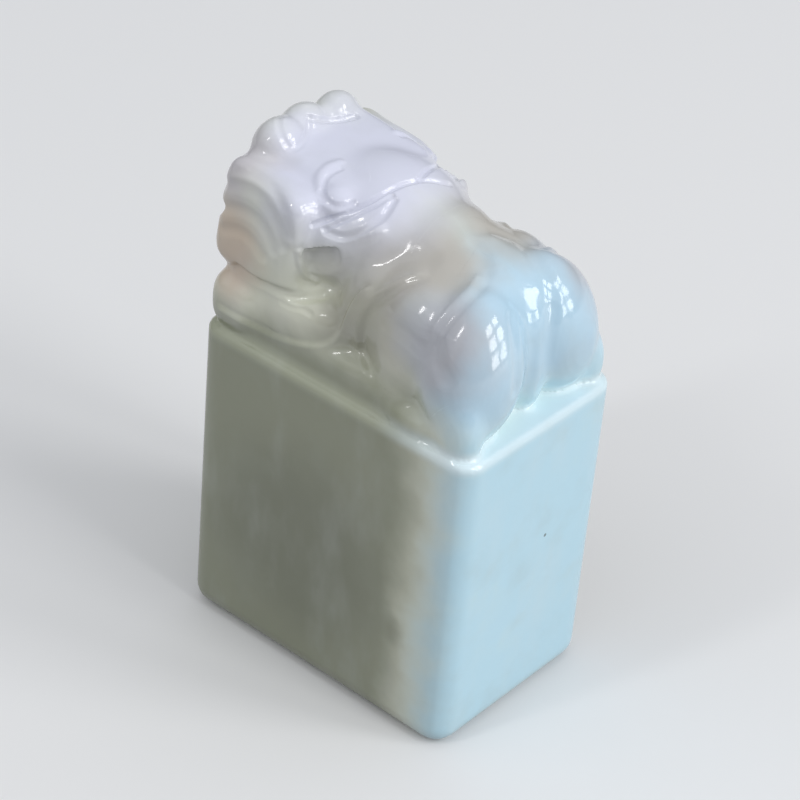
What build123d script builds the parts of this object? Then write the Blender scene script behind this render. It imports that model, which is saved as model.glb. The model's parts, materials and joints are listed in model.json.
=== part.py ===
from build123d import *
import os

# A carved seal stamp: a square-cut block of stone with a recumbent guardian beast on top.
# The origin is the centre of the stamping face, +Z is up and the beast looks along -X.
# The beast is parted along its own creases: each mass is cut by the ones before it, so that
# neighbours meet face to face and all of them together fill the stone once.

# Driving sizes, in millimetres
block_length = 19.8
block_width = 13.2
block_height = 20.0
beast_height = 11.8

block_corner_radius = 1.4
block_foot_radius = 1.2
block_top_chamfer = 0.25

bed_edge_radius = 0.9
paw_edge_radius = 1.3
muzzle_edge_radius = 1.2
brow_edge_radius = 0.9

# Degrees about X, Y and Z that bring a ball's poles off the upright
pole_turn = (60, 90, 0)

# Places are (along, across, up): shares of half the block's length, of half its width and of
# the beast's height above the block. Half sizes are given in the same three shares. Tilts are
# degrees about X, Y and Z.

# Rounded masses that have no twin: place, half sizes, tilt
middle_shares = {
    # Barrel of the body, from behind the head to the rump
    "torso": ((0.275, 0.02, 0.355), (0.585, 0.86, 0.42), (0, 0, 0)),
    # Back end between the two haunches
    "rump": ((0.55, 0.03, 0.33), (0.33, 0.74, 0.42), (0, -6, 0)),
    # Breast under the chin, between the forelegs
    "chest": ((-0.44, 0.00, 0.34), (0.48, 0.67, 0.29), (0, 0, 0)),
    # Round back of the head
    "skull": ((-0.25, 0.05, 0.60), (0.54, 0.72, 0.33), (0, 4, 0)),
    # Fold of skin behind the head
    "neck_roll": ((0.155, 0.055, 0.60), (0.27, 0.53, 0.24), (0, 12, 0)),
    # Raised line of the backbone
    "spine_ridge": ((0.47, 0.12, 0.68), (0.36, 0.17, 0.13), (0, 14, 0)),
    # Tail laid flat against the rump
    "tail": ((0.80, 0.06, 0.31), (0.135, 0.20, 0.31), (0, -4, 0)),
    # Middle curl of the nose
    "nose_tip": ((-0.88, 0.00, 0.885), (0.135, 0.26, 0.135), (0, 0, 0)),
    # Outer curls of the nose, of which the far one stands higher
    "nostril_left": ((-0.86, -0.32, 0.87), (0.15, 0.27, 0.15), (0, 0, 0)),
    "nostril_right": ((-0.86, 0.38, 0.895), (0.125, 0.22, 0.115), (0, 0, 0)),
    # Bulging eyes under the brow, on a head that is turned a little
    "eye_left": ((-0.355, -0.44, 0.80), (0.13, 0.19, 0.095), (0, 0, 0)),
    "eye_right": ((-0.355, 0.56, 0.78), (0.13, 0.19, 0.095), (0, 0, 0)),
    # Leaf-shaped ears, laid back along the head
    "ear_left": ((-0.13, -0.55, 0.70), (0.22, 0.12, 0.09), (0, -36, 16)),
    "ear_right": ((-0.13, 0.66, 0.70), (0.22, 0.12, 0.09), (0, -36, -16)),
}

# Rounded masses in pairs, given for the -Y side, where across points out of the body
pair_shares = {
    # Broad upper part of the hind leg, behind
    "haunch": ((0.69, 0.48, 0.33), (0.29, 0.46, 0.385), (-14, -8, 0)),
    # Round thigh and knee, in front of the haunch
    "thigh": ((0.385, 0.565, 0.35), (0.31, 0.35, 0.33), (0, 6, 0)),
    # Upper arm, leaning forward to the elbow
    "shoulder": ((0.04, 0.55, 0.42), (0.21, 0.265, 0.24), (-12, 18, 0)),
    # Forearm, stretched forward along the block's edge
    "forearm": ((-0.41, 0.67, 0.24), (0.46, 0.25, 0.14), (0, -5, 0)),
    # Hock at the block's rear corner
    "lower_leg": ((0.82, 0.76, 0.12), (0.16, 0.235, 0.21), (0, 0, 0)),
    # Hind toes, tucked under the thigh
    "hind_paw": ((0.53, 0.70, 0.05), (0.32, 0.27, 0.11), (0, 0, 4)),
}

# Flatter masses, each a block with rounded edges: place, half sizes, tilt, edge radius
slab_shares = {
    # Low bed of uncut stone under the front of the beast
    "bed": ((-0.21, 0.0, 0.05), (0.70, 0.86, 0.14), (0, 1, 0), bed_edge_radius),
    # Broad square muzzle with the whiskers at its sides
    "muzzle": ((-0.675, -0.02, 0.57), (0.315, 0.88, 0.285), (-3, 5, -2), muzzle_edge_radius),
    # Flat forehead behind the nose
    "brow": ((-0.56, 0.055, 0.78), (0.33, 0.59, 0.13), (0, 6, 0), brow_edge_radius),
    # Front paws at the block's front corners
    "fore_paw_left": ((-0.80, -0.70, 0.15), (0.19, 0.285, 0.16), (0, 0, 0), paw_edge_radius),
    "fore_paw_right": ((-0.80, 0.70, 0.15), (0.19, 0.285, 0.16), (0, 0, 0), paw_edge_radius),
}


def extent(shares):
    along, across, up = shares
    return (along * block_length / 2, across * block_width / 2, up * beast_height)


def place(shares, tilt):
    x, y, z = extent(shares)
    return Location((x, y, block_height + z), tilt)


def egg(centre_shares, half_shares, tilt):
    # The ball's poles lie along the body, so that its seam stays out of the creases
    ball = Rotation(pole_turn) * Sphere(1)
    ball = scale(ball, by=extent(half_shares))
    return place(centre_shares, tilt) * ball


def slab(centre_shares, half_shares, tilt, edge_radius):
    half_x, half_y, half_z = extent(half_shares)
    body = Box(2 * half_x, 2 * half_y, 2 * half_z)
    body = fillet(body.edges(), edge_radius)
    return place(centre_shares, tilt) * body


def seal_block():
    standing = (Align.CENTER, Align.CENTER, Align.MIN)
    body = Box(block_length, block_width, block_height, align=standing)
    body = fillet(body.edges().filter_by(Axis.Z), block_corner_radius)
    top_edges = body.faces().sort_by(Axis.Z)[-1].edges()
    body = chamfer(top_edges, block_top_chamfer)
    foot_edges = body.faces().sort_by(Axis.Z)[0].edges()
    return fillet(foot_edges, block_foot_radius)


def middle(name):
    return {name: egg(*middle_shares[name])}


def pair(name):
    (along, across, up), half_shares, tilt = pair_shares[name]
    near = egg((along, -across, up), half_shares, tilt)
    far = mirror(near, about=Plane.XZ)
    return {name + "_left": near, name + "_right": far}


def flat(name):
    return {name: slab(*slab_shares[name])}


def all_masses():
    # Carving order: an early mass keeps more of its own shape than a late one
    return {
        "seal_block": seal_block(),
        **flat("muzzle"),
        **middle("skull"),
        **pair("haunch"),
        **pair("thigh"),
        **flat("fore_paw_left"),
        **flat("fore_paw_right"),
        **pair("forearm"),
        **pair("shoulder"),
        **middle("neck_roll"),
        **middle("torso"),
        **middle("rump"),
        **middle("chest"),
        **pair("lower_leg"),
        **pair("hind_paw"),
        **flat("bed"),
        **middle("tail"),
        **middle("spine_ridge"),
        **flat("brow"),
        **middle("nostril_left"),
        **middle("nostril_right"),
        **middle("nose_tip"),
        **middle("eye_left"),
        **middle("eye_right"),
        **middle("ear_left"),
        **middle("ear_right"),
    }


def boxes_meet(one, other):
    a = one.bounding_box()
    b = other.bounding_box()
    along = a.min.X < b.max.X and b.min.X < a.max.X
    across = a.min.Y < b.max.Y and b.min.Y < a.max.Y
    up = a.min.Z < b.max.Z and b.min.Z < a.max.Z
    return along and across and up


def part_along_creases(masses):
    """Cut every mass by those before it, and keep the largest solid of what is left."""
    pieces = {}
    earlier = []
    for name, mass in masses.items():
        cutters = [other for other in earlier if boxes_meet(mass, other)]
        rest = mass - cutters if cutters else mass
        pieces[name] = rest.solids().sort_by(SortBy.VOLUME)[-1]
        earlier.append(mass)
    return pieces


os.makedirs("parts", exist_ok=True)
for name, piece in part_along_creases(all_masses()).items():
    export_step(piece, "parts/" + name + ".step")
    print(name, "volume", round(piece.volume, 2))
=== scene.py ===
# %% [markdown]
# # A carved stone seal stamp
# The object is a small seal: a square-cut block of pale jadeite with a recumbent guardian
# beast carved on top as its grip. The frame holds its sizes and its nodes. This lesson blocks
# the beast out from simple masses, fuses them into one skin of stone, carves the lines into it,
# parts it into the same pieces as the frame, and gives the stone its colours and its polish.

# %% Load the frame
import json
import math
import bmesh
import bpy
import numpy as np
from mathutils import Matrix, Vector
from mathutils.bvhtree import BVHTree

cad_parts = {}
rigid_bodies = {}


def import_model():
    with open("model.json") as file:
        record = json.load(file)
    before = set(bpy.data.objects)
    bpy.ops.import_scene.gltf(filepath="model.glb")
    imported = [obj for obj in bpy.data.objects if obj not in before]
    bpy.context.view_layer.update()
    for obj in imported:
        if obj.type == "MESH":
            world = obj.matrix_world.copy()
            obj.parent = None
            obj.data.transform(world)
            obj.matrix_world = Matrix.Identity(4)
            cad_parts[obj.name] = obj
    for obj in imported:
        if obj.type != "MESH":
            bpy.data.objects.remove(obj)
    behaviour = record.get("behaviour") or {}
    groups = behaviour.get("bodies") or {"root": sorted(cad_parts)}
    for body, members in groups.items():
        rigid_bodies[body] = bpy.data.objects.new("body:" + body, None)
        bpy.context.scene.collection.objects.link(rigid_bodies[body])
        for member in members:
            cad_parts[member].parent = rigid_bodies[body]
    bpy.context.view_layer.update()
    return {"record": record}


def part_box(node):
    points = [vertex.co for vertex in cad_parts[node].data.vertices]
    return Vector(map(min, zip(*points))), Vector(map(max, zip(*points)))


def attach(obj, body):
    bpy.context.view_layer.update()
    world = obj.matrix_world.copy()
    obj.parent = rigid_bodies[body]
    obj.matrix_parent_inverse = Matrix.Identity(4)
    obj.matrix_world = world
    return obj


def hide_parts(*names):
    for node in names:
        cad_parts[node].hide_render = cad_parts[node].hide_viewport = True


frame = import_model()

# %% [markdown]
# ## Sizes
# Everything is measured from the block, and the block's own box comes from the frame. Lengths
# are metres in Blender, so each millimetre is written with MM. Only the beast's height has no
# node of its own to be read from: it is the height of its masses above the block.

# %% Sizes of the block and the beast
MM = 0.001
block_low, block_high = (Vector(corner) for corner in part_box("seal_block"))
block_size = block_high - block_low
half_length = block_size.x / 2
half_width = block_size.y / 2
block_top = block_high.z
beast_height = 11.8 * MM
print("block mm:", [round(side / MM, 2) for side in block_size])

# %% [markdown]
# ## The camera
# The photograph looks down on the seal from behind its near side with a long lens. The camera
# is placed first, because later cells send rays through its picture to find where a carved
# line lies on the stone. Angles are degrees, and the picture is 800 pixels wide.

# %% Place the camera
picture_width = 800
sensor_width = 36.0
lens = 135.0
camera_azimuth = 37.75
camera_elevation = 35.61
camera_roll = 5.25
camera_distance = 179.8 * MM
camera_shift_right = 1.06 * MM
camera_shift_up = 13.33 * MM


def direction_from(azimuth, elevation):
    """Unit vector towards a camera or lamp, where azimuth 0 is the -Y side."""
    a = math.radians(azimuth)
    e = math.radians(elevation)
    return Vector((math.sin(a) * math.cos(e), -math.cos(a) * math.cos(e), math.sin(e)))


def camera_axes():
    back = direction_from(camera_azimuth, camera_elevation)
    right = Vector((0, 0, 1)).cross(back).normalized()
    up = back.cross(right)
    roll = math.radians(camera_roll)
    right_rolled = right * math.cos(roll) + up * math.sin(roll)
    up_rolled = up * math.cos(roll) - right * math.sin(roll)
    return right_rolled, up_rolled, back


def add_camera():
    right, up, back = camera_axes()
    place = back * camera_distance + right * camera_shift_right + up * camera_shift_up
    turn = Matrix((right, up, back)).transposed().to_4x4()
    data = bpy.data.cameras.new("photo_camera")
    data.lens = lens
    data.sensor_width = sensor_width
    data.clip_start = 10 * MM
    data.clip_end = 10.0
    camera = bpy.data.objects.new("photo_camera", data)
    camera.matrix_world = Matrix.Translation(place) @ turn
    bpy.context.scene.collection.objects.link(camera)
    bpy.context.scene.camera = camera
    return camera


camera = add_camera()
print("camera at mm:", [round(value / MM, 1) for value in camera.matrix_world.translation])

# %% A ray through a pixel of the picture
def pixel_ray(column, row):
    right, up, back = camera_axes()
    focal = lens / sensor_width * picture_width
    middle = picture_width / 2
    direction = right * (column - middle) - up * (row - middle) - back * focal
    return camera.matrix_world.translation.copy(), direction.normalized()


picture_middle = picture_width / 2
print("the middle of the picture looks along", pixel_ray(picture_middle, picture_middle)[1])

# %% [markdown]
# ## The rough shape
# A carver first saws away what isn't the beast and leaves rounded masses: skull, muzzle,
# haunches, paws. They could be pulled out of one box by extruding and sculpting, but separate
# primitives can be named, moved and measured one by one. So each mass here is a ball or a
# soft-edged box, added at its size and place. These first helpers keep the selection clean,
# because an operator acts on all that is selected.

# %% Select one piece, and apply its modifiers or its place
def select_only(piece):
    bpy.ops.object.select_all(action="DESELECT")
    piece.select_set(True)
    bpy.context.view_layer.objects.active = piece


def apply_modifiers(piece):
    select_only(piece)
    for modifier in list(piece.modifiers):
        bpy.ops.object.modifier_apply(modifier=modifier.name)


def apply_place(piece):
    select_only(piece)
    bpy.ops.object.transform_apply(location=True, rotation=True, scale=True)


print("selected before the first select_only:", len(bpy.context.selected_objects))

# %% [markdown]
# Places and half sizes are shares: along the block's half length, across its half width, and up
# in the beast's height above the block. A share keeps the beast right if the block changes.
# Tilts are degrees about X, Y and Z.

# %% Places, sizes and tilts
def place_of(shares):
    along, across, up = shares
    return Vector((along * half_length, across * half_width, block_top + up * beast_height))


def size_of(shares):
    along, across, up = shares
    return Vector((along * half_length, across * half_width, up * beast_height))


def tilt_of(degrees):
    turn = Matrix.Identity(3)
    for axis, angle in zip("XYZ", degrees):
        turn = turn @ Matrix.Rotation(math.radians(angle), 3, axis)
    return turn.to_euler()


top_middle = place_of((0, 0, 0))
print("the shares 0, 0, 0 lie at mm:", [round(value / MM, 2) for value in top_middle])

# %% [markdown]
# A ball takes any size along its three axes, which gives haunches, eyes and curls. A box with
# bevelled edges gives the flatter masses: the bed, the muzzle, the forehead and the paws. Both
# can be grown, because the parting cell later uses a slightly larger copy of each mass.

# %% A stretched ball and a soft-edged box
round_segments = 64
round_rings = 32
edge_segments = 6


def egg(name, centre_shares, half_shares, tilt, grown=0):
    """A stretched ball; grown adds to each of its half sizes."""
    half_sizes = size_of(half_shares) + Vector((grown, grown, grown))
    bpy.ops.mesh.primitive_uv_sphere_add(segments=round_segments, ring_count=round_rings, radius=1,
                                         location=place_of(centre_shares),
                                         rotation=tilt_of(tilt), scale=half_sizes)
    piece = bpy.context.object
    piece.name = name + "_mass"
    apply_place(piece)
    return piece


def slab(name, centre_shares, half_shares, tilt, edge_radius, grown=0):
    """A box with rounded edges; grown adds to each of its half sizes."""
    half_sizes = size_of(half_shares) + Vector((grown, grown, grown))
    bpy.ops.mesh.primitive_cube_add(size=2, location=place_of(centre_shares),
                                    rotation=tilt_of(tilt), scale=half_sizes)
    piece = bpy.context.object
    piece.name = name + "_mass"
    apply_place(piece)
    bevel = piece.modifiers.new("edges", "BEVEL")
    bevel.width = edge_radius
    bevel.segments = edge_segments
    apply_modifiers(piece)
    return piece


print("faces of a ball:", round_segments * round_rings)

# %% [markdown]
# Each row below is one mass: its place, its half sizes and its tilt, and for a box the radius of
# its edges. Legs are alike on both sides, so a pair is given once, with its place counted
# outwards from the middle and its tilt as on the near side. The head is turned a little, so its
# eyes and ears aren't quite a mirror pair.

# %% Round masses of the beast
egg_masses = {
    "torso": ((0.275, 0.02, 0.355), (0.585, 0.86, 0.42), (0, 0, 0)),
    "rump": ((0.55, 0.03, 0.33), (0.33, 0.74, 0.42), (0, -6, 0)),
    "chest": ((-0.44, 0.00, 0.34), (0.48, 0.67, 0.29), (0, 0, 0)),
    "skull": ((-0.25, 0.05, 0.60), (0.54, 0.72, 0.33), (0, 4, 0)),
    "neck_roll": ((0.155, 0.055, 0.60), (0.27, 0.53, 0.24), (0, 12, 0)),
    "spine_ridge": ((0.45, 0.13, 0.645), (0.37, 0.17, 0.12), (0, 14, 0)),
    "tail": ((0.78, 0.07, 0.30), (0.13, 0.20, 0.31), (0, -4, 0)),
    "nose_tip": ((-0.88, 0.00, 0.885), (0.135, 0.26, 0.135), (0, 0, 0)),
    "nostril_left": ((-0.86, -0.32, 0.87), (0.15, 0.27, 0.15), (0, 0, 0)),
    "nostril_right": ((-0.86, 0.38, 0.895), (0.125, 0.22, 0.115), (0, 0, 0)),
    "eye_left": ((-0.35, -0.44, 0.795), (0.13, 0.19, 0.09), (0, 0, 0)),
    "eye_right": ((-0.35, 0.56, 0.77), (0.13, 0.19, 0.09), (0, 0, 0)),
    "ear_left": ((-0.14, -0.52, 0.69), (0.19, 0.10, 0.065), (0, -38, 16)),
    "ear_right": ((-0.14, 0.64, 0.69), (0.19, 0.10, 0.065), (0, -38, -16)),
}
egg_pairs = {
    "haunch": ((0.69, 0.48, 0.33), (0.29, 0.46, 0.385), (-14, -8, 0)),
    "thigh": ((0.385, 0.565, 0.35), (0.31, 0.35, 0.33), (0, 6, 0)),
    "shoulder": ((0.04, 0.55, 0.42), (0.21, 0.265, 0.24), (-12, 18, 0)),
    "forearm": ((-0.41, 0.67, 0.24), (0.46, 0.25, 0.14), (0, -5, 0)),
    "lower_leg": ((0.815, 0.80, 0.10), (0.15, 0.17, 0.20), (0, 0, 0)),
    "hind_paw": ((0.52, 0.70, 0.05), (0.32, 0.27, 0.11), (0, 0, 0)),
}
for pair_name, ((along, across, up), half_shares, (roll, pitch, yaw)) in egg_pairs.items():
    egg_masses[pair_name + "_left"] = ((along, -across, up), half_shares, (roll, pitch, yaw))
    egg_masses[pair_name + "_right"] = ((along, across, up), half_shares, (-roll, pitch, -yaw))
print("round masses:", len(egg_masses))

# %% Flatter masses of the beast
slab_masses = {
    "bed": ((-0.21, 0.0, 0.05), (0.70, 0.915, 0.14), (0, 1, 0), 0.5 * MM),
    "muzzle": ((-0.675, -0.02, 0.57), (0.315, 0.88, 0.285), (-3, 5, -2), 1.1 * MM),
    "brow": ((-0.56, 0.055, 0.78), (0.33, 0.59, 0.13), (0, 6, 0), 1.0 * MM),
    "cheeks": ((-0.33, 0.02, 0.58), (0.19, 0.74, 0.19), (0, 0, 0), 1.6 * MM),
    "fore_paw_left": ((-0.80, -0.70, 0.15), (0.19, 0.285, 0.16), (0, 0, 0), 1.3 * MM),
    "fore_paw_right": ((-0.80, 0.70, 0.15), (0.19, 0.285, 0.16), (0, 0, 0), 1.3 * MM),
}


def mass(name, grown=0):
    if name in slab_masses:
        return slab(name, *slab_masses[name], grown)
    return egg(name, *egg_masses[name], grown)


print("flat masses:", len(slab_masses))

# %% [markdown]
# ## The block
# The block is sawn square, then its upright corners and its foot are rubbed round by hand,
# while the rim of its top stays crisp. A cube is added and its edges are bevelled in edit mode,
# each set of edges with its own radius. A bevel modifier would give one radius to them all.

# %% Shape the block
block_corner_radius = 1.4 * MM
block_foot_radius = 1.2 * MM
block_rim_radius = 0.22 * MM
tiny = 1e-7


def bevel_edges(piece, is_chosen, radius):
    """Round the edges whose lowest and highest ends are chosen by a test."""
    select_only(piece)
    bpy.ops.object.mode_set(mode="EDIT")
    bpy.ops.mesh.select_mode(type="EDGE")
    bpy.ops.mesh.select_all(action="DESELECT")
    bpy.ops.object.mode_set(mode="OBJECT")
    for edge in piece.data.edges:
        heights = [piece.data.vertices[i].co.z for i in edge.vertices]
        edge.select = is_chosen(min(heights), max(heights))
    bpy.ops.object.mode_set(mode="EDIT")
    bpy.ops.mesh.bevel(offset=radius, segments=edge_segments, profile=0.5)
    bpy.ops.object.mode_set(mode="OBJECT")


def stone_block():
    bpy.ops.mesh.primitive_cube_add(size=1, location=(0, 0, block_top / 2), scale=block_size)
    piece = bpy.context.object
    piece.name = "block_mass"
    apply_place(piece)
    bevel_edges(piece, lambda low, high: high - low > block_top / 2, block_corner_radius)
    bevel_edges(piece, lambda low, high: high < tiny, block_foot_radius)
    bevel_edges(piece, lambda low, high: low > block_top - tiny, block_rim_radius)
    return piece


block = stone_block()
print("block faces:", len(block.data.polygons))

# %% [markdown]
# ## One skin of stone
# Rough masses become one body when the carver rubs the steps between them away. A plain boolean
# union would keep every step sharp. So the masses are joined, a voxel remesh makes one closed
# skin of them, and a smooth modifier rubs it down. The large masses get the most rubbing, the
# nose and paws less, and eyes, ears and the block's rim hardly any, so that each keeps the
# softness that it has on the real seal.

# %% Fuse the masses
nose_tail_and_toes = ["nose_tip", "nostril_left", "nostril_right", "tail",
                      "hind_paw_left", "hind_paw_right"]
eyes_and_ears = ["eye_left", "eye_right", "ear_left", "ear_right"]
large_masses = [name for name in list(egg_masses) + list(slab_masses)
                if name not in nose_tail_and_toes + eyes_and_ears]
voxel_size = 0.2 * MM
rubbing_strength = 0.5
large_rubbing = 20
middling_rubbing = 7
small_rubbing = 3


def rub(piece, rounds):
    smooth = piece.modifiers.new("rub", "SMOOTH")
    smooth.factor = rubbing_strength
    smooth.iterations = rounds
    apply_modifiers(piece)


def fuse(masses, rubbing):
    bpy.ops.object.select_all(action="DESELECT")
    for piece in masses:
        piece.select_set(True)
    bpy.context.view_layer.objects.active = masses[0]
    bpy.ops.object.join()
    fused = bpy.context.object
    remesh = fused.modifiers.new("voxels", "REMESH")
    remesh.mode = "VOXEL"
    remesh.voxel_size = voxel_size
    rub(fused, rubbing)
    return fused


body = fuse([mass(name) for name in large_masses], large_rubbing)
body = fuse([body] + [mass(name) for name in nose_tail_and_toes], middling_rubbing)
skin = fuse([body, block] + [mass(name) for name in eyes_and_ears], small_rubbing)
skin.name = "skin"
print("skin faces:", len(skin.data.polygons))

# %% [markdown]
# The beast carries the fine lines and the block carries none, so only the faces above the block
# are subdivided. Two more rounds of rubbing take away the steps of the voxels.

# %% Finer faces on the beast
above_block = 0.05 * MM
rounds_against_steps = 2


def face_centres(piece):
    centres = np.empty(len(piece.data.polygons) * 3)
    piece.data.polygons.foreach_get("center", centres)
    return centres.reshape(-1, 3)


def subdivide_faces(piece, chosen):
    select_only(piece)
    bpy.ops.object.mode_set(mode="EDIT")
    bpy.ops.mesh.select_mode(type="FACE")
    bpy.ops.mesh.select_all(action="DESELECT")
    bpy.ops.object.mode_set(mode="OBJECT")
    piece.data.polygons.foreach_set("select", chosen)
    bpy.ops.object.mode_set(mode="EDIT")
    bpy.ops.mesh.subdivide(number_cuts=1, smoothness=0)
    bpy.ops.object.mode_set(mode="OBJECT")


subdivide_faces(skin, face_centres(skin)[:, 2] > block_top + above_block)
rub(skin, rounds_against_steps)
print("skin faces:", len(skin.data.polygons))

# %% [markdown]
# ## Carving tools
# The carver follows drawn lines with a small wheel. Sculpting brushes would do the same by hand,
# but they need a window, so the lines are given in code. A line is a few points, and a smooth
# curve is laid through them, as a hand would draw it.

# %% A smooth curve through a few points
steps_between_points = 6


def rounded_path(points):
    """More points on a smooth curve through the given ones."""
    points = [np.array(point, float) for point in points]
    ends = [2 * points[0] - points[1]] + points + [2 * points[-1] - points[-2]]
    path = []
    for before, start, end, after in zip(ends, ends[1:], ends[2:], ends[3:]):
        for step in range(steps_between_points):
            t = step / steps_between_points
            path.append(0.5 * (2 * start + (end - before) * t
                               + (2 * before - 5 * start + 4 * end - after) * t ** 2
                               + (3 * start - before - 3 * end + after) * t ** 3))
    path.append(points[-1])
    return path


print("two points make a path of", len(rounded_path([(0, 0), (1, 1)])))

# %% [markdown]
# Most lines are read in the picture, so rays through their pixels find their place on the stone.
# The beast is alike on both sides, so a line is repeated on the side that the picture doesn't
# show. The lines of the face are given as places on its front, which no ray of the camera meets.

# %% Lay a line on the stone
uncarved = BVHTree.FromObject(skin, bpy.context.evaluated_depsgraph_get())


def trace(pixels):
    """The line on the stone that shows at these pixels of the picture."""
    hits = [uncarved.ray_cast(*pixel_ray(*pixel))[0] for pixel in rounded_path(pixels)]
    return np.array([hit for hit in hits if hit is not None])


def far_side(path, middle, least_across):
    """The same line on the other side, from least_across outwards."""
    mirrored = path * (1, -1, 1) + (0, 2 * middle, 0)
    mirrored = mirrored[mirrored[:, 1] > least_across]
    return np.array([uncarved.find_nearest(Vector(point))[0] for point in mirrored])


def on_face(places):
    """A line on the front of the head, given as shares across and up."""
    towards_tail = Vector((1, 0, 0))
    before_the_face = -1.3
    starts = [place_of((before_the_face, across, up)) for across, up in rounded_path(places)]
    hits = [uncarved.ray_cast(start, towards_tail)[0] for start in starts]
    return np.array([hit for hit in hits if hit is not None])


middle_of_face = on_face([(0, 0.5), (0, 0.6)])
print("the middle of the face lies at mm:", [round(value / MM, 1) for value in middle_of_face[0]])

# %% [markdown]
# The vertices near a line are then moved along their normals. A groove goes in, a ridge comes
# out, and a fold does both, as where a haunch lies over a thigh: it is high just beside the
# line on one side and low on the other. A fold dies away towards its ends, as on skin.

# %% The profile of a cut
fold_reach = 2
fold_high_slope = 2.2
fold_low_slope = 3.5
fold_low_share = 0.9
fold_level_share = 0.35
fold_fade_start = 1.6


def groove_shape(share):
    """Depth across a groove, where share is 0 at the line and 1 at its edge."""
    return -np.where(share < 1, (1 - np.minimum(share, 1) ** 2) ** 2, 0)


def fold_shape(signed):
    """High just beside the line on one side, low on the other, and level far away."""
    high = np.exp(-fold_high_slope * signed)
    low = -fold_low_share * np.exp(fold_low_slope * signed)
    share = np.abs(signed)
    level_at_line = np.clip(share / fold_level_share, 0, 1)
    fade = np.clip(fold_fade_start - share / 2, 0, 1)
    relief = np.where(signed > 0, high, low) * level_at_line * fade
    return np.where(share > fold_reach, 0, relief)


print("a groove is deepest at its line:", groove_shape(np.array([0.0, 0.5, 1.0])))

# %% [markdown]
# A point can only be moved once it is known how far it lies from the line, and on which side.
# The line is a chain of short straight runs, so each point is measured to every run, and the
# nearest one counts.

# %% Measure from points to a line
never_near = 1.0


def nearest_on_path(points, path):
    """For each point: distance to the path, nearest place on it, and its direction there."""
    nearest_distance = np.full(len(points), never_near)
    place = np.zeros_like(points)
    along = np.zeros_like(points)
    for start, run in zip(path[:-1], path[1:] - path[:-1]):
        share = np.clip(((points - start) @ run) / (run @ run + 1e-18), 0, 1)
        nearest = start + share[:, None] * run
        distance = np.linalg.norm(points - nearest, axis=1)
        closer = distance < nearest_distance
        nearest_distance[closer] = distance[closer]
        place[closer] = nearest[closer]
        along[closer] = run
    return nearest_distance, place, along


distances = nearest_on_path(middle_of_face + (0, MM, 0), middle_of_face)[0]
print("a path moved aside by 1 mm lies at most mm away:", round(distances.max() / MM, 2))

# %% Press a line into the stone
fold_end_share = 0.8


def press(piece, kind, width, depth, path, high_side):
    if len(path) < 2:
        return
    points = np.empty(len(piece.data.vertices) * 3)
    piece.data.vertices.foreach_get("co", points)
    points = points.reshape(-1, 3)
    normals = np.empty(len(points) * 3)
    piece.data.vertex_normals.foreach_get("vector", normals)
    normals = normals.reshape(-1, 3)
    reach = fold_reach * width
    beside_path = (points > path.min(0) - reach) & (points < path.max(0) + reach)
    near = np.flatnonzero(beside_path.all(1))
    distance, place, along = nearest_on_path(points[near], path)
    share = distance / width
    if kind == "fold":
        side = np.einsum("ij,ij->i", np.cross(along, normals[near]), points[near] - place)
        to_start = np.linalg.norm(place - path[0], axis=1)
        to_end = np.linalg.norm(place - path[-1], axis=1)
        taper = np.clip(np.minimum(to_start, to_end) / (fold_end_share * width), 0, 1)
        move = taper * fold_shape(np.sign(side) * share * high_side)
    elif kind == "ridge":
        move = -groove_shape(share)
    else:
        move = groove_shape(share)
    points[near] += normals[near] * (move * depth)[:, None]
    piece.data.vertices.foreach_set("co", points.ravel())
    piece.data.update()

# %% [markdown]
# ## The lines of the beast
# Each line has a kind, a width and a depth in millimetres, and its pixels in the picture. On the
# body they are the folds of thigh and haunch, the crease of the foreleg and the grooves beside
# the tail. On the head they are the whisker fan, the brow and eye, the ear, the pocket behind
# the mouth and the fine double line of the mane that runs from the mouth over the nape.

# %% Lines of the body
body_lines = {
    "thigh_outline": ("fold", 0.9, 0.30,
                      [(430, 277), (410, 281), (390, 291), (374, 303), (364, 318), (361, 340),
                       (366, 364), (374, 380)]),
    "thigh_foot": ("groove", 0.8, 0.08, [(374, 380), (388, 394), (402, 403), (420, 412)]),
    "flank_fold": ("groove", 1.0, 0.08,
                   [(352, 296), (366, 283), (384, 270), (404, 262), (428, 259)]),
    "thigh_crease": ("groove", 0.7, 0.09, [(386, 320), (396, 328), (408, 337), (424, 352)]),
    "haunch_fold": ("fold", 1.05, 0.34,
                    [(484, 268), (483, 279), (474, 291), (458, 307), (440, 330), (436, 346)]),
    "haunch_top": ("groove", 0.8, 0.12, [(474, 246), (482, 256), (485, 268)]),
    "haunch_foot": ("groove", 0.8, 0.14, [(436, 346), (438, 362), (446, 378)]),
    "forearm_outline": ("fold", 0.6, 0.22,
                        [(216, 304), (236, 316), (256, 326), (278, 336), (302, 343), (322, 344),
                         (336, 335), (344, 318), (352, 300), (360, 290), (372, 284)]),
    "chin_crease": ("groove", 0.5, 0.2,
                    [(238, 268), (258, 282), (280, 292), (300, 298), (322, 296)]),
    "wrist_line": ("groove", 0.3, 0.05, [(282, 302), (292, 307), (302, 309), (310, 314)]),
}
rear_lines = {
    "tail_near_side": ("groove", 0.6, 0.12, [(512, 318), (516, 345), (517, 370), (516, 390)]),
    "tail_far_side": ("groove", 0.7, 0.12,
                      [(552, 312), (549, 325), (547, 345), (545, 370), (542, 386)]),
    "spine_line": ("groove", 0.7, 0.08,
                   [(478, 230), (490, 231), (506, 236), (522, 245), (534, 258), (545, 276),
                    (552, 300)]),
}
print("lines of the body:", len(body_lines) + len(rear_lines))

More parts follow.
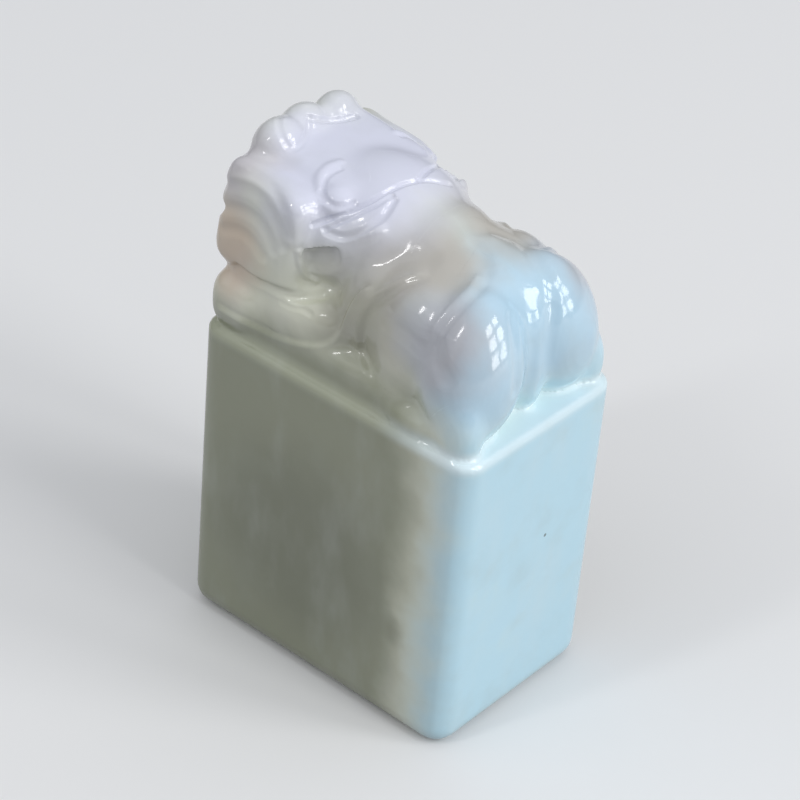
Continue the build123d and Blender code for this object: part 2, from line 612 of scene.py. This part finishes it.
# %% Lines of the head
mane_line = ("groove", 0.26, 0.15,
             [(313, 225), (330, 219), (346, 214), (370, 202), (397, 187), (412, 182),
              (427, 180), (450, 184)])
head_lines = {
    "mane_second_line": ("groove", 0.22, 0.12,
                         [(324, 229), (345, 220), (360, 213), (375, 206), (392, 195)]),
    "ear_outline": ("groove", 0.34, 0.14,
                    [(326, 231), (334, 235), (344, 237), (356, 234), (372, 225), (384, 216),
                     (394, 200)]),
    "brow": ("ridge", 0.4, 0.10, [(319, 190), (319, 178), (324, 170), (331, 165), (340, 162)]),
    "eye_lower_lid": ("groove", 0.34, 0.09,
                      [(322, 192), (325, 199), (332, 205), (342, 207), (353, 204)]),
    "eye_upper_lid": ("groove", 0.24, 0.06, [(323, 190), (325, 181), (331, 174), (341, 169)]),
    "pocket_rim": ("fold", 0.4, 0.2, [(338, 249), (320, 249), (303, 250)]),
    "pocket_upper": ("groove", 0.7, 0.36, [(310, 257), (321, 256), (332, 255)]),
    "pocket_lower": ("groove", 0.7, 0.2, [(314, 265), (323, 265), (332, 262)]),
    "mouth_hook": ("ridge", 0.35, 0.12, [(299, 252), (301, 265), (306, 275), (316, 280)]),
    "fan_border": ("ridge", 0.9, 0.10,
                   [(240, 161), (262, 165), (280, 174), (290, 190), (295, 215), (297, 240)]),
    "fan_first": ("groove", 0.5, 0.07,
                  [(236, 171), (256, 176), (273, 190), (284, 210), (288, 236)]),
    "fan_second": ("groove", 0.6, 0.12,
                   [(222, 184), (240, 186), (256, 194), (270, 210), (278, 228), (281, 246)]),
    "fan_third": ("groove", 0.55, 0.11,
                  [(221, 207), (238, 209), (254, 217), (266, 232), (273, 250)]),
    "fan_fourth": ("groove", 0.55, 0.10, [(222, 229), (238, 231), (251, 240), (262, 256)]),
}
nose_lines = {
    "curl_foot": ("groove", 0.3, 0.2, [(310, 118), (324, 120), (340, 120), (356, 116)]),
    "curl_outline": ("groove", 0.3, 0.06,
                     [(281, 112), (279, 124), (283, 138), (292, 149), (302, 143), (308, 130),
                      (310, 116)]),
}
print("lines of the head:", 1 + len(head_lines) + len(nose_lines))

# %% [markdown]
# The picture doesn't show the front, so it has the usual face of such a beast: a wide mouth that
# turns up at its corners, two fangs, a groove under the nose, and toes on the paws. Places are
# shares across the block's half width and up the beast's height.

# %% Lines of the face and the toes
face_middle = 0.04
mouth = [(-0.80, 0.62), (-0.55, 0.52), (-0.25, 0.57), (0.04, 0.62), (0.33, 0.57), (0.60, 0.52),
         (0.80, 0.62)]
lower_lip = [(-0.62, 0.42), (-0.30, 0.40), (0.04, 0.40), (0.36, 0.40), (0.66, 0.42)]
under_nose = [(0.04, 0.80), (0.04, 0.72), (0.04, 0.62)]
wing_from_middle = [(0.10, 0.76), (0.28, 0.72), (0.44, 0.66)]
fang_from_middle = [(0.30, 0.56), (0.30, 0.47)]
toe_places = (0.58, 0.74)
toe_lean = 0.03
face_lines = [("groove", 0.7, 0.45, mouth), ("groove", 0.5, 0.25, lower_lip),
              ("groove", 0.4, 0.2, under_nose)]
for side in (-1, 1):
    nose_wing = [(face_middle + side * across, up) for across, up in wing_from_middle]
    fang = [(face_middle + side * across, up) for across, up in fang_from_middle]
    face_lines += [("groove", 0.45, 0.2, nose_wing), ("ridge", 0.4, 0.35, fang)]
    for across in toe_places:
        toe = [(side * across, 0.04), (side * across, 0.16), (side * (across - toe_lean), 0.26)]
        face_lines.append(("groove", 0.4, 0.22, toe))
print("lines of the face and the toes:", len(face_lines))

# %% [markdown]
# All lines are laid on the smooth skin before the first is pressed, so that no line is thrown
# off its place by another. The far side of the body has the same lines about its own middle,
# and the head is mirrored about a middle that lies a little further over.

# %% Lay the lines on both sides
body_middle = 0.03 * half_width
head_middle = 0.06 * half_width
off_the_spine = 0.5 * half_width
cuts = []


def add_cut(line, path, high_side):
    kind, width, depth, places = line
    cuts.append((kind, width * MM, depth * MM, path, high_side))


def add_cut_and_twin(line, middle, least_across):
    path = trace(line[-1])
    add_cut(line, path, 1)
    add_cut(line, far_side(path, middle, least_across), -1)


for line in body_lines.values():
    add_cut_and_twin(line, body_middle, off_the_spine)
for line in head_lines.values():
    add_cut_and_twin(line, head_middle, off_the_spine)
add_cut_and_twin(mane_line, head_middle, head_middle)
for line in list(rear_lines.values()) + list(nose_lines.values()):
    add_cut(line, trace(line[-1]), 1)
for line in face_lines:
    add_cut(line, on_face(line[-1]), 1)
print("cuts:", len(cuts))

# %% [markdown]
# A line narrower than 0.4 mm is hardly wider than a face of the skin, so the faces beside it are
# subdivided once more before the lines are pressed.

# %% Carve
fine_width = 0.4 * MM
beside_line = 0.1 * MM
centres = face_centres(skin)
fine_faces = np.zeros(len(centres), bool)
for kind, width, depth, path, high_side in cuts:
    if width < fine_width and len(path) > 1:
        fine_faces |= nearest_on_path(centres, path)[0] < width + beside_line
subdivide_faces(skin, fine_faces)
for cut in cuts:
    press(skin, *cut)
print("fine faces:", int(fine_faces.sum()), "skin faces:", len(skin.data.polygons))

# %% [markdown]
# ## Parting the stone
# The real seal is one stone, and the frame holds it as the carver's masses, each its own node.
# The skin is parted the same way. Cutting it with planes would leave seams that follow nothing,
# so a slightly grown copy of each mass cuts its piece out of the stone with a boolean, small
# masses first, and the torso takes what is left between them. Neighbours meet face to face, so
# no seam shows on the polished surface.

# %% Cut a piece out of the stone
hair = 0.03 * MM


def boolean(piece, cutter, operation):
    modifier = piece.modifiers.new("part", "BOOLEAN")
    modifier.operation = operation
    modifier.solver = "MANIFOLD"
    modifier.object = cutter
    apply_modifiers(piece)


def take_piece(name, cutter, rest):
    piece = rest.copy()
    piece.data = rest.data.copy()
    bpy.context.scene.collection.objects.link(piece)
    boolean(piece, cutter, "INTERSECT")
    boolean(rest, cutter, "DIFFERENCE")
    bpy.data.objects.remove(cutter)
    piece.name = name + "_stone"
    piece.data.name = piece.name
    return piece


def below_top():
    """A box that holds all of the block, up to a hair above its top."""
    reach = 50 * MM
    bpy.ops.mesh.primitive_cube_add(size=2 * reach, location=(0, 0, block_top + hair - reach))
    box = bpy.context.object
    apply_place(box)
    return box

# %% [markdown]
# Each piece is measured once it is cut, since a wrong growth shows first as a volume that is far
# too small. A boolean can also leave a crumb of a few vertices beside its piece. It is found by
# following the edges from vertex to vertex, and removed.

# %% Measure a piece and drop its crumbs
crumb_vertices = 12


def volume_of(piece):
    mesh = bmesh.new()
    mesh.from_mesh(piece.data)
    volume = mesh.calc_volume()
    mesh.free()
    return volume


def island_of(seed):
    """All vertices that edges join to this one."""
    island = {seed}
    to_follow = [seed]
    while to_follow:
        vertex = to_follow.pop()
        for edge in vertex.link_edges:
            other = edge.other_vert(vertex)
            if other not in island:
                island.add(other)
                to_follow.append(other)
    return island


def drop_crumbs(piece):
    select_only(piece)
    bpy.ops.object.mode_set(mode="EDIT")
    bpy.ops.mesh.select_mode(type="VERT")
    mesh = bmesh.from_edit_mesh(piece.data)
    checked = set()
    for seed in mesh.verts:
        if seed in checked:
            continue
        island = island_of(seed)
        checked |= island
        for vertex in island:
            vertex.select = len(island) < crumb_vertices
    bpy.ops.mesh.delete(type="VERT")
    bpy.ops.object.mode_set(mode="OBJECT")


print("mm3 of the whole stone:", round(volume_of(skin) / MM ** 3))

# %% [markdown]
# The numbers below are the millimetres by which a mass is grown before it cuts, so that it
# reaches through the skin above it. The torso, chest and bed lie behind other masses and need
# more. The order matters too: what stands proud is taken first, then limbs, then the body.

# %% Part the skin
growths = {
    "eye_left": 0.25, "eye_right": 0.25, "ear_left": 0.3, "ear_right": 0.3,
    "nostril_left": 0.25, "nostril_right": 0.25, "nose_tip": 0.25,
    "brow": 0.3, "muzzle": 0.5, "skull": 0.4, "tail": 0.3, "spine_ridge": 0.35,
    "fore_paw_left": 0.35, "fore_paw_right": 0.35, "forearm_left": 0.3, "forearm_right": 0.3,
    "shoulder_left": 0.25, "shoulder_right": 0.25,
    "hind_paw_left": 0.3, "hind_paw_right": 0.3, "lower_leg_left": 0.3, "lower_leg_right": 0.3,
    "thigh_left": 0.3, "thigh_right": 0.3, "haunch_left": 0.35, "haunch_right": 0.35,
    "neck_roll": 0.3, "rump": 0.2, "torso": 0.5, "chest": 0.5, "bed": 0.8,
}
pieces = {"seal_block": take_piece("seal_block", below_top(), skin)}
for name, grown in growths.items():
    pieces[name] = take_piece(name, mass(name, grown * MM), skin)
print("mm3 left over for the torso:", round(volume_of(skin) / MM ** 3, 2))
boolean(pieces["torso"], skin, "UNION")
bpy.data.objects.remove(skin)

# %% Smooth shading
crease_angle = 40
for name, piece in pieces.items():
    drop_crumbs(piece)
    select_only(piece)
    bpy.ops.object.shade_smooth_by_angle(angle=math.radians(crease_angle))
    print(name, "faces:", len(piece.data.polygons), "mm3:", round(volume_of(piece) / MM ** 3, 1))

# %% [markdown]
# ## The stone
# Jadeite is a hard, fine-grained stone that takes a glassy polish. This one is pale: greyish
# green in the front of the block and of the beast, lavender white in the head, with a brown
# breath in the whiskers, and icy white towards the rear. Some colours are painted light and
# shade: the block's sides are darkened as painted shade, its rear pales as painted light, its
# rim and ledge are lightened as a painted highlight, and the hollow behind the mouth is darkened
# as painted shade. Its colours are clouds, millimetres wide, with no sharp edge, so each is a
# soft zone in space whose border is bent by noise. The zones read Object coordinates, so that
# they run on from piece to piece as in the real stone.

# %% Colour values and shader nodes
def linear(hex_colour):
    values = [int(hex_colour[i:i + 2], 16) / 255 for i in (1, 3, 5)]
    light = tuple(v / 12.92 if v <= 0.04045 else ((v + 0.055) / 1.055) ** 2.4 for v in values)
    return light + (1.0,)


def add_node(tree, kind, settings, links=()):
    """A node with its settings; each link is (input, output that feeds it)."""
    node = tree.nodes.new(kind)
    for name, value in settings.items():
        if isinstance(name, int) or name in node.inputs:
            node.inputs[name].default_value = value
        else:
            setattr(node, name, value)
    for socket, source in links:
        tree.links.new(source, node.inputs[socket])
    return node


print("a middle grey in linear light:", [round(value, 3) for value in linear("#808080")])

# %% [markdown]
# Three recipes build the stone from those nodes. A cloud in the stone is a ball with a soft
# border. Grain is noise that is as wide as given. Colours are then laid over each other like
# thin washes, each where its mask is strong. Painting an image would do the same, but masks in
# space need no unwrapped surface and run through every piece.

# %% Soft balls, grain and washes of colour
def soft_ball(tree, place, centre, inner, outer, most=1.0):
    """The most within the inner distance of a centre, 0 beyond the outer one, in millimetres."""
    distance = add_node(tree, "ShaderNodeVectorMath",
                        {"operation": "DISTANCE", 1: [value * MM for value in centre]}, [(0, place)])
    limits = {"From Min": inner * MM, "From Max": outer * MM, "To Min": most, "To Max": 0.0}
    return add_node(tree, "ShaderNodeMapRange", {"interpolation_type": "SMOOTHSTEP", **limits},
                    [("Value", distance.outputs["Value"])]).outputs["Result"]


def grain(tree, place, width, detail, stretch=(1, 1, 1)):
    """Noise about as wide as given, in millimetres, longer along an axis by its stretch."""
    sized = add_node(tree, "ShaderNodeVectorMath",
                     {"operation": "DIVIDE", 1: [share * width * MM for share in stretch]}, [(0, place)])
    return add_node(tree, "ShaderNodeTexNoise", {"Scale": 1.0, "Detail": detail, "Roughness": 0.5},
                    [("Vector", sized.outputs["Vector"])]).outputs


def grain_between(tree, place, width, detail, stretch, limits):
    """Grain that goes softly from low to high while the noise goes from start to end."""
    start, end, low, high = limits
    return add_node(tree, "ShaderNodeMapRange",
                    {"interpolation_type": "SMOOTHSTEP", "From Min": start, "From Max": end,
                     "To Min": low, "To Max": high},
                    [("Value", grain(tree, place, width, detail, stretch)["Fac"])]).outputs["Result"]


def washes(tree, ground, layers):
    """Lay each hex colour over the ground, a hex colour or an output, where its mask is 1."""
    colour = ground
    for mask, hex_colour in layers:
        settings = {"data_type": "RGBA", 7: linear(hex_colour)}
        links = [(0, mask)]
        if isinstance(colour, str):
            settings[6] = linear(colour)
        else:
            links.append((6, colour))
        colour = add_node(tree, "ShaderNodeMix", settings, links).outputs[2]
    return colour

# %% [markdown]
# Three small things sit at known places of the picture: a brownish smudge low on the near side,
# one dark grain in the rear face, and the hollow behind the mouth, which gets painted shade. Rays
# through their pixels find them on the stone.

# %% Small marks in the stone, and the hollow that gets painted shade
smudge_pixel = (395, 632)
dark_grain_pixel = (545, 535)
pocket_pixel = (320, 262)


def mark_place(pixel):
    """Where this pixel shows the stone, in millimetres."""
    return uncarved.ray_cast(*pixel_ray(*pixel))[0] / MM


smudge_place = mark_place(smudge_pixel)
dark_grain_place = mark_place(dark_grain_pixel)
pocket_place = mark_place(pocket_pixel)
for mark, place in (("smudge", smudge_place), ("grain", dark_grain_place), ("pocket", pocket_place)):
    print(mark, "at mm:", [round(value, 1) for value in place])

# %% [markdown]
# The masks read three kinds of place. The plain place is the point in the stone. The bent place
# is moved by noise, so that borders wander as they do in jadeite. The folded place is the bent
# one with both sides of the beast laid on each other, since the two flanks are coloured alike.

# %% Plain, bent and folded places
border_width = 4
border_bend = 3 * MM


def stone_places(tree, plain):
    """The three places, the axes of the bent one, and the height of the plain one."""
    border_noise = grain(tree, plain, border_width, 3)["Color"]
    centred = add_node(tree, "ShaderNodeVectorMath", {"operation": "SUBTRACT", 1: (0.5, 0.5, 0.5)},
                       [(0, border_noise)]).outputs["Vector"]
    bend = add_node(tree, "ShaderNodeVectorMath", {"operation": "SCALE", "Scale": border_bend},
                    [(0, centred)]).outputs["Vector"]
    bent = add_node(tree, "ShaderNodeVectorMath", {"operation": "ADD"},
                    [(0, plain), (1, bend)]).outputs["Vector"]
    sides_alike = add_node(tree, "ShaderNodeVectorMath", {"operation": "ABSOLUTE"},
                           [(0, bent)]).outputs["Vector"]
    axes = add_node(tree, "ShaderNodeSeparateXYZ", {}, [(0, bent)]).outputs
    across = add_node(tree, "ShaderNodeSeparateXYZ", {}, [(0, sides_alike)]).outputs["Y"]
    folded = add_node(tree, "ShaderNodeCombineXYZ", {},
                      [(0, axes["X"]), (1, across), (2, axes["Z"])]).outputs["Vector"]
    plain_height = add_node(tree, "ShaderNodeSeparateXYZ", {}, [(0, plain)]).outputs["Z"]
    places = {"plain": plain, "bent": bent, "folded": folded}
    return places, axes, plain_height


print("borders wander by up to mm:", border_bend / 2 / MM)

# %% [markdown]
# Along the stone, colours change slowly. Each row of this table is one soft step: the line that
# it follows, where it starts and ends in millimetres, and the strengths that it goes between.
# The rump line runs back and up, since the beast pales towards its raised rump. The block pales
# towards its rear as painted light from its lit rear face, and its thin rim and the ledge on its
# top are lightened as a painted highlight.

# %% Slow changes along the stone
slow_changes = {
    "rump": ("rump line", 2.5, 8.0, 0.0, 1.0),
    # painted light: the block's rear half and rear face are made paler and icier, as if lit from the
    # rear
    "rear_half_painted_light": ("length", 4.4, 8.6, 0.0, 1.0),
    "icy_rear_painted_light": ("length", 6.4, 9.9, 0.0, 1.0),
    "beast": ("height", 20.5, 23.5, 0.0, 1.0),
    # painted highlight: a band over the rim's bevel and the ledge on the block's top
    "above_rim": ("plain height", 19.2, 19.95, 0.0, 0.75),
    "below_ledge": ("plain height", 20.2, 20.9, 1.0, 0.0),
    "ledge_rear": ("length", 3.0, 8.0, 0.0, 1.0),
}
rump_lean = 0.5
rump_start = 12.5 * MM


def slow_masks(tree, axes, plain_height):
    lifted = add_node(tree, "ShaderNodeMath",
                      {"operation": "MULTIPLY_ADD", 1: rump_lean, 2: -rump_start},
                      [(0, axes["Z"])]).outputs["Value"]
    towards_rump = add_node(tree, "ShaderNodeMath", {"operation": "ADD"},
                            [(0, axes["X"]), (1, lifted)]).outputs["Value"]
    followed = {"rump line": towards_rump, "length": axes["X"], "height": axes["Z"],
                "plain height": plain_height}
    masks = {}
    for name, (line, start, end, low, high) in slow_changes.items():
        step = add_node(tree, "ShaderNodeMapRange",
                        {"interpolation_type": "SMOOTHSTEP", "From Min": start * MM,
                         "From Max": end * MM, "To Min": low, "To Max": high},
                        [("Value", followed[line])])
        masks[name] = step.outputs["Result"]
    # the ledge mask carries the painted highlight of the rim and the top ledge
    masks["ledge"] = add_node(tree, "ShaderNodeMath", {"operation": "MULTIPLY"},
                              [(0, masks["above_rim"]), (1, masks["below_ledge"])]).outputs["Value"]
    return masks


print("slow changes:", len(slow_changes))

# %% [markdown]
# The clouds of colour are balls with soft borders. Each row says which place the ball reads, its
# centre, the distances at which it starts and stops to fade, its strength and its colour. They
# are laid on a beast that starts greyish green and turns icy blue behind, and on a block whose
# deep grey green is darkened as painted shade, most in the middle of its sides, and made clear
# towards its rear as painted light. The cloud in the hollow behind the mouth is painted shade.

# %% Clouds of colour
beast_clouds = {
    "warm_grey_back": ("folded", (2.2, 3.0, 26.8), 2.0, 6.0, 1.0, "#BEBAB2"),
    "lilac_grey_haunch": ("folded", (6.4, 5.2, 26.0), 1.2, 4.0, 1.0, "#BDBFC6"),
    "green_grey_elbow": ("folded", (0.3, 5.4, 24.6), 1.2, 3.8, 1.0, "#B4B3A3"),
    "lavender_head": ("folded", (-4.0, 1.5, 31.0), 3.0, 7.5, 1.0, "#DDDFEF"),
    "grey_near_curl": ("bent", (-9.0, -4.0, 29.5), 1.0, 3.5, 1.0, "#CFCBCF"),
    "brown_whiskers": ("folded", (-9.0, 6.0, 25.5), 1.5, 4.0, 1.0, "#D8C7B4"),
    # painted shade in the hollow behind the mouth
    "pocket_painted_shade": ("plain", pocket_place, 0.5, 1.6, 0.45, "#B3B2A4"),
}
# painted shade: a darker cloud in the middle of both side faces of the block
block_painted_shade = {"core_painted_shade": ("folded", (-1.5, 5.0, 9.0), 3.0, 9.5, 1.0, "#838772")}
small_marks = {
    "brownish_smudge": ("bent", smudge_place, 0.2, 1.4, 0.35, "#5F6247"),
    "dark_grain": ("plain", dark_grain_place, 0.05, 0.16, 0.8, "#4E524C"),
}
beast_front = "#E3E4D2"
# the block's grey green ground is its stone colour, darkened as painted shade on its sides
beast_rear = "#BEDDF0"
# painted light: the block's clear and icy rear colours
block_green_and_painted_shade = "#989C85"
block_clear_painted_light = "#EEF1DD"
block_rear_painted_light = "#C4EAFA"
# painted highlight: the colours of the rim and the top ledge
ledge_front = "#B4B8A1"
ledge_rear = "#EAFAFF"


def clouds_of(tree, places, table):
    """The mask and the colour of each soft ball in a table."""
    layers = []
    for which, centre, inner, outer, most, hex_colour in table.values():
        layers.append((soft_ball(tree, places[which], centre, inner, outer, most), hex_colour))
    return layers


print("clouds and marks:", len(beast_clouds) + len(block_painted_shade) + len(small_marks))

# %% Colour of the stone
def stone_colour(tree, plain):
    places, axes, plain_height = stone_places(tree, plain)
    masks = slow_masks(tree, axes, plain_height)
    beast = washes(tree, beast_front,
                   [(masks["rump"], beast_rear)] + clouds_of(tree, places, beast_clouds))
    # the block: its ground and core darkened as painted shade, its rear half and rear face paled as
    # painted light
    block = washes(tree, block_green_and_painted_shade,
                   clouds_of(tree, places, block_painted_shade)
                   + [(masks["rear_half_painted_light"], block_clear_painted_light), (masks["icy_rear_painted_light"], block_rear_painted_light)])
    colour = add_node(tree, "ShaderNodeMix", {"data_type": "RGBA"},
                      [(0, masks["beast"]), (6, block), (7, beast)]).outputs[2]
    # the rim and the top ledge get a painted highlight
    ledge = washes(tree, ledge_front, [(masks["ledge_rear"], ledge_rear)])
    colour = add_node(tree, "ShaderNodeMix", {"data_type": "RGBA"},
                      [(0, masks["ledge"]), (6, colour), (7, ledge)]).outputs[2]

    # faint clouds about 3.5 mm wide, upright wisps of 2.8 by 7 mm, and the two small marks
    haze = grain_between(tree, plain, 3.5, 4, (1, 1, 1), (0.45, 0.75, 0.0, 0.14))
    wisps = grain_between(tree, plain, 2.8, 3, (1, 1, 2.5), (0.45, 0.8, 0.0, 0.14))
    return washes(tree, colour, [(haze, "#A6AD9E"), (wisps, "#E6ECEC")]
                  + clouds_of(tree, places, small_marks))

# %% [markdown]
# The finish is a polish with fine diamond powder, which gives jadeite its glassy, slightly oily
# shine, in which each pane of the window shows with soft edges. Jadeite has an index of
# refraction of 1.66, more than glass, so its highlights are a little stronger. The polish is
# duller in patches of 1.5 mm, and rubbing by hand left it wavy, about 0.9 mm from wave to wave.

# %% Jadeite, polished
jadeite_ior = 1.66
dull_patch_width = 1.5
wave_width = 0.9
wave_height = 0.03 * MM
wave_strength = 0.35


def jadeite(name):
    material = bpy.data.materials.new(name)
    material.use_nodes = True
    tree = material.node_tree
    shader = tree.nodes["Principled BSDF"]
    place = add_node(tree, "ShaderNodeTexCoord", {}).outputs["Object"]
    tree.links.new(stone_colour(tree, place), shader.inputs["Base Color"])
    dullness = grain_between(tree, place, dull_patch_width, 3, (1, 1, 1), (0.3, 0.7, 0.09, 0.16))
    tree.links.new(dullness, shader.inputs["Roughness"])
    waves = add_node(tree, "ShaderNodeBump", {"Strength": wave_strength, "Distance": wave_height},
                     [("Height", grain(tree, place, wave_width, 2)["Fac"])])
    tree.links.new(waves.outputs["Normal"], shader.inputs["Normal"])
    shader.inputs["IOR"].default_value = jadeite_ior
    print(name, "nodes:", len(tree.nodes))
    return material


materials = {"green_jade": jadeite("green_jadeite_polished"),
             "lavender_jade": jadeite("lavender_jadeite_polished")}

# %% [markdown]
# The frame's record says which slot each node has. Each piece gets that slot's stone, rides on
# the one body of the seal, and takes the place of the CAD node that it was cut after.

# %% Give each piece its stone and its node
slot_of = {entry["node"]: entry["material_slot"] for entry in frame["record"]["subparts"]}
for name, piece in pieces.items():
    slot = slot_of[name]
    piece.data.materials.clear()
    piece.data.materials.append(materials[slot])
    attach(piece, "root")
    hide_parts(name)
print("pieces:", len(pieces))

# %% [markdown]
# ## The stage
# The seal stands on a plain pale floor. Such a floor throws so much light back up that the
# undersides of a pale stone glow, so it is darker to diffuse rays than it is to the camera and
# in reflections.

# %% Floor
floor_size = 4
floor_seen = "#EDEDED"
floor_felt = "#8C8C8C"
paper_roughness = 0.9
bpy.ops.mesh.primitive_plane_add(size=floor_size, location=(0, 0, 0))
floor = bpy.context.object
floor.name = "floor"
floor_paper = bpy.data.materials.new("floor_paper")
floor_paper.use_nodes = True
paper_tree = floor_paper.node_tree
paper_shader = paper_tree.nodes["Principled BSDF"]
ray = add_node(paper_tree, "ShaderNodeLightPath", {}).outputs
seen = add_node(paper_tree, "ShaderNodeMath", {"operation": "MAXIMUM"},
                [(0, ray["Is Camera Ray"]), (1, ray["Is Glossy Ray"])]).outputs["Value"]
paper_colour = washes(paper_tree, floor_felt, [(seen, floor_seen)])
paper_tree.links.new(paper_colour, paper_shader.inputs["Base Color"])
paper_shader.inputs["Roughness"].default_value = paper_roughness
floor.data.materials.append(floor_paper)
print("floor size m:", [round(side, 2) for side in floor.dimensions])

# %% [markdown]
# The light is that of a room by day. A sky that grows brighter overhead fills the shadows
# softly, and the camera sees it at one even level, as a plain backdrop.

# %% Sky
sky_at_horizon = 0.12
sky_overhead = 0.8
sky_seen = 0.85
world = bpy.data.worlds.new("studio")
world.use_nodes = True
sky = world.node_tree
sky_shader = sky.nodes["Background"]
direction = add_node(sky, "ShaderNodeTexCoord", {}).outputs["Generated"]
height = add_node(sky, "ShaderNodeSeparateXYZ", {}, [(0, direction)]).outputs["Z"]
strength = add_node(sky, "ShaderNodeMapRange",
                    {"From Min": 0.0, "From Max": 1.0, "To Min": sky_at_horizon,
                     "To Max": sky_overhead}, [("Value", height)]).outputs["Result"]
to_camera = add_node(sky, "ShaderNodeLightPath", {}).outputs["Is Camera Ray"]
strength = add_node(sky, "ShaderNodeMix", {3: sky_seen}, [(0, to_camera), (2, strength)]).outputs[0]
sky.links.new(strength, sky_shader.inputs["Strength"])
sky_shader.inputs["Color"].default_value = linear("#F7FAFF")
bpy.context.scene.world = world
print("sky from", sky_at_horizon, "to", sky_overhead)

# %% [markdown]
# The key light comes through a window of six panes behind the seal's rear face, so that the
# polish of the haunches shows the window's bars. A narrow window at the near side draws the thin
# highlights on the back, and a large weak panel lifts the near side. Sizes and distances are
# metres and powers are watts.

# %% Lamps
def lamp(name, place, towards, width, height, power):
    data = bpy.data.lights.new(name, "AREA")
    data.shape = "RECTANGLE"
    data.size = width
    data.size_y = height
    data.energy = power
    light = bpy.data.objects.new(name, data)
    turn = towards.to_track_quat("Z", "Y").to_matrix().to_4x4()
    light.matrix_world = Matrix.Translation(place) @ turn
    bpy.context.scene.collection.objects.link(light)


def paned_window(name, back, distance, columns, rows, pane_width, pane_height, bar, power):
    """A window of several panes with bars between them."""
    right = Vector((0, 0, 1)).cross(back).normalized()
    up = back.cross(right)
    for column in range(columns):
        for row in range(rows):
            aside = (column - (columns - 1) / 2) * (pane_width + bar)
            above = (row - (rows - 1) / 2) * (pane_height + bar)
            place = back * distance + right * aside + up * above
            lamp(f"{name}_{column}_{row}", place, back, pane_width, pane_height,
                 power / (columns * rows))


towards_key = direction_from(104, 28)
towards_side = direction_from(-15, 44)
towards_fill = direction_from(-30, 30)
paned_window("key_window", towards_key, distance=0.5, columns=2, rows=3,
             pane_width=0.14, pane_height=0.11, bar=0.05, power=1.6)
lamp("side_window", towards_side * 0.6, towards_side, width=0.05, height=0.16, power=0.3)
lamp("left_fill", towards_fill * 0.8, towards_fill, width=0.9, height=0.9, power=0.8)
bpy.context.scene.view_settings.view_transform = "Standard"
print("lamps:", len(bpy.data.lights))
